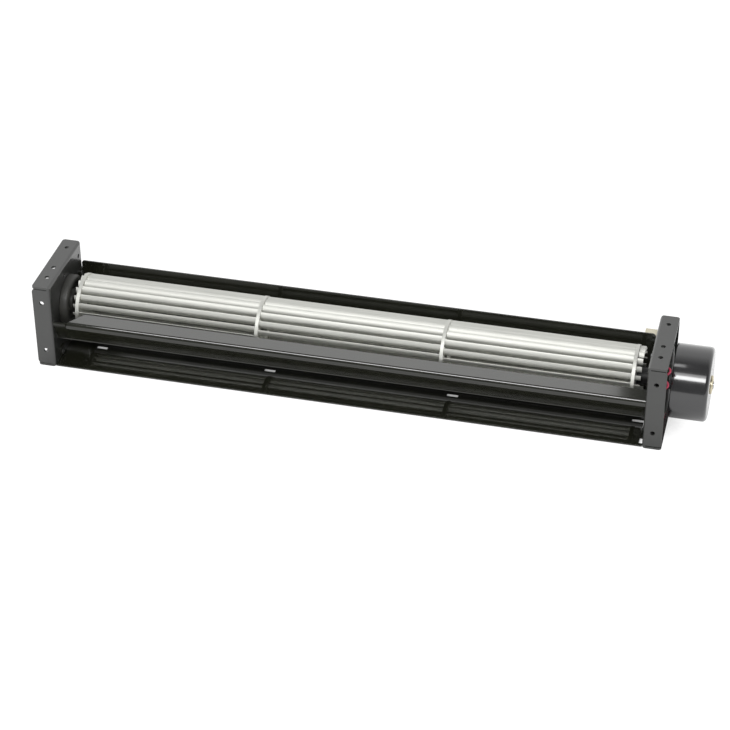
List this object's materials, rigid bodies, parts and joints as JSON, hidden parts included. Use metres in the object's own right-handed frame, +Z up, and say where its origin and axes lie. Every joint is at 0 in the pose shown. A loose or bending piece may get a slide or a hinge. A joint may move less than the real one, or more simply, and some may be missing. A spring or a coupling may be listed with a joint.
{
  "type": "cross flow fan",
  "caption": "Cross flow fan with a long bladed aluminium drum between folded sheet brackets, a curved rear panel, a folded stabilizer strip and an outer rotor motor at one end.",
  "frame": {"origin": "underside of the base, midway between the four base holes, under the drum's axis", "axes": "+X along the drum towards the motor, -Y the side that blows, +Z up"},
  "size_m": [0.3611, 0.056, 0.05],
  "materials": {
    "bracket_paint": "satin black powder coat",
    "panel_paint": "gloss black enamel",
    "zinc_steel": "zinc plated",
    "mount_rubber": "matt",
    "bush_bronze": "sintered",
    "cast_alloy": "as cast",
    "board_laminate": "solder mask",
    "core_steel": "laminated",
    "coil_wire": "enamelled",
    "wire_red": "soft gloss",
    "wire_black": "soft gloss",
    "plug_nylon": "moulded",
    "shaft_steel": "ground",
    "drum_aluminium": "bright rolled",
    "cup_paint": "gloss black",
    "hub_plastic": "moulded, black",
    "magnet_ferrite": "bonded ferrite",
    "hub_brass": "turned"
  },
  "bodies": {
    "housing": {"left_bracket": "bracket_paint", "right_bracket": "bracket_paint", "rear_panel": "panel_paint", "stabilizer": "panel_paint", "panel_rivets": "bracket_paint", "stabilizer_rivets": "bracket_paint", "rubber_mount": "mount_rubber", "left_bush": "bush_bronze", "motor_base": "cast_alloy", "motor_screws": "zinc_steel", "inner_bush": "bush_bronze", "outer_bush": "bush_bronze", "circuit_board": "board_laminate", "stator_core": "core_steel", "stator_coils": "coil_wire", "lead_red": "wire_red", "lead_black": "wire_black", "lead_grommet": "mount_rubber", "lead_plug": "plug_nylon"},
    "rotor": {"left_shaft": "shaft_steel", "left_hub": "hub_plastic", "left_end_disc": "drum_aluminium", "blades_left": "drum_aluminium", "left_ring": "drum_aluminium", "blades_middle": "drum_aluminium", "right_ring": "drum_aluminium", "blades_right": "drum_aluminium", "right_end_disc": "drum_aluminium", "right_hub": "hub_plastic", "motor_shaft": "shaft_steel", "rotor_cup": "cup_paint", "magnet_ring": "magnet_ferrite", "brass_hub": "hub_brass"}
  },
  "joints": [
    {"name": "rotor_spin", "type": "hinge", "parent": "housing", "child": "rotor", "pos_m": [0, 0, 0.0276], "axis": [1, 0, 0], "continuous": true}
  ]
}
